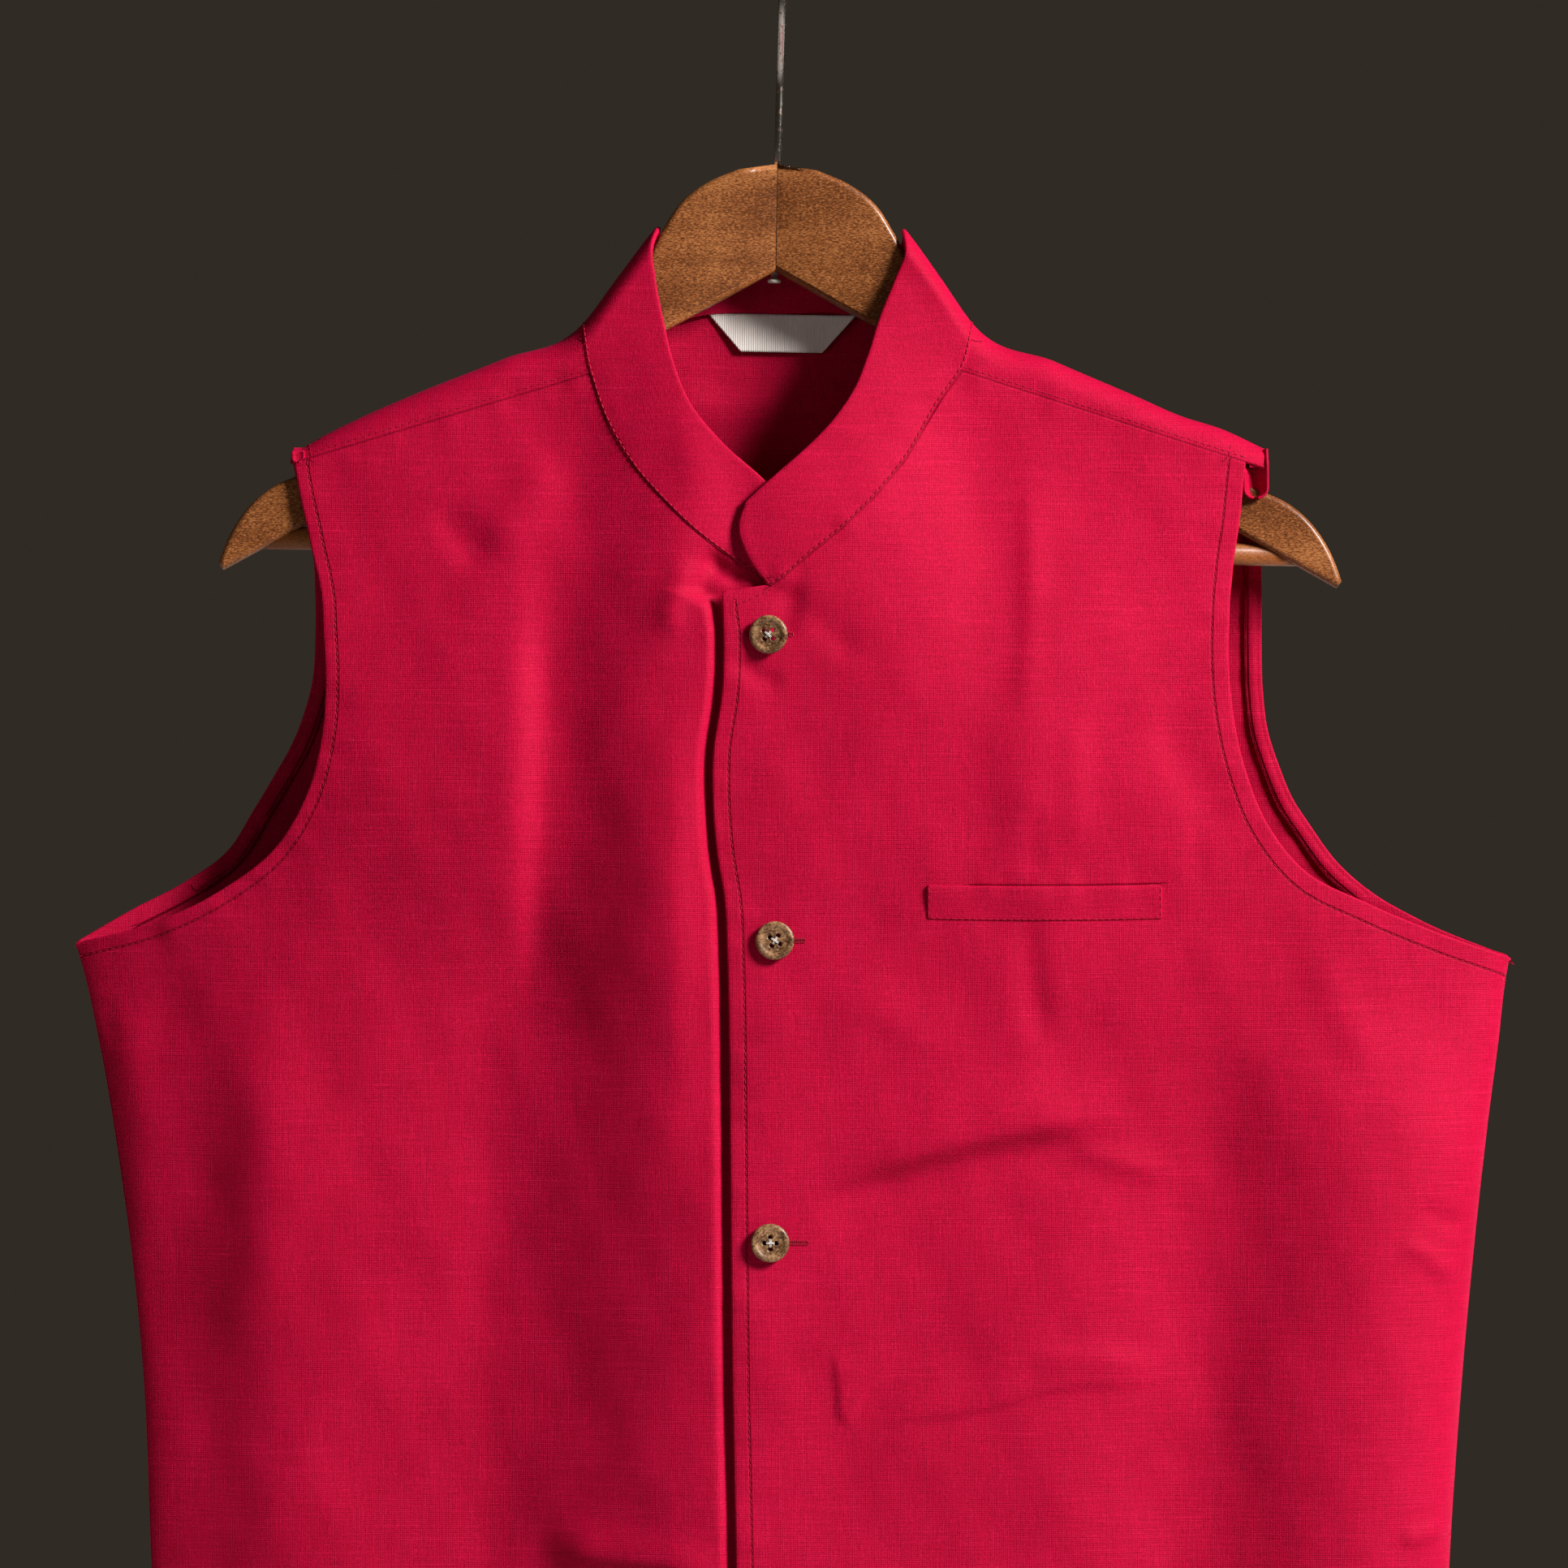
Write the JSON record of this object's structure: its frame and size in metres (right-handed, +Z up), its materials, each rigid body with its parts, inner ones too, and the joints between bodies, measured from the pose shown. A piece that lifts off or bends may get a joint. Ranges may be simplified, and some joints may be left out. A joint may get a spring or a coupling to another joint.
{
  "type": "nehru jacket on a wooden hanger",
  "caption": "Sleeveless jacket with a band collar, buttoned front and chest welt pocket, hanging from the hook of a wooden hanger with a bar.",
  "frame": {"origin": "bearing point inside the top of the hanger's hook", "axes": "+Z up, the jacket's front towards -Y, the wearer's left towards +X"},
  "size_m": [0.5615, 0.0651, 0.8635],
  "materials": {
    "cloth": "slubbed diagonal weave with a soft sheen, crimson",
    "label": "ribbed woven label, cream",
    "buttons": "polished coconut shell, speckled tan",
    "hanger_wood": "stained and lacquered brown",
    "hook_wire": "plated wire with specks of rust"
  },
  "bodies": {
    "root": {"right_front": "cloth", "left_front": "cloth", "back": "cloth", "collar": "cloth", "chest_welt": "cloth", "armhole_facing_left": "cloth", "armhole_facing_right": "cloth", "neck_label": "label", "button_1": "buttons", "button_2": "buttons", "button_3": "buttons", "button_4": "buttons", "button_5": "buttons", "hanger_arm_left": "hanger_wood", "hanger_arm_right": "hanger_wood", "hanger_bar": "hanger_wood", "hanger_hook": "hook_wire"}
  },
  "joints": []
}
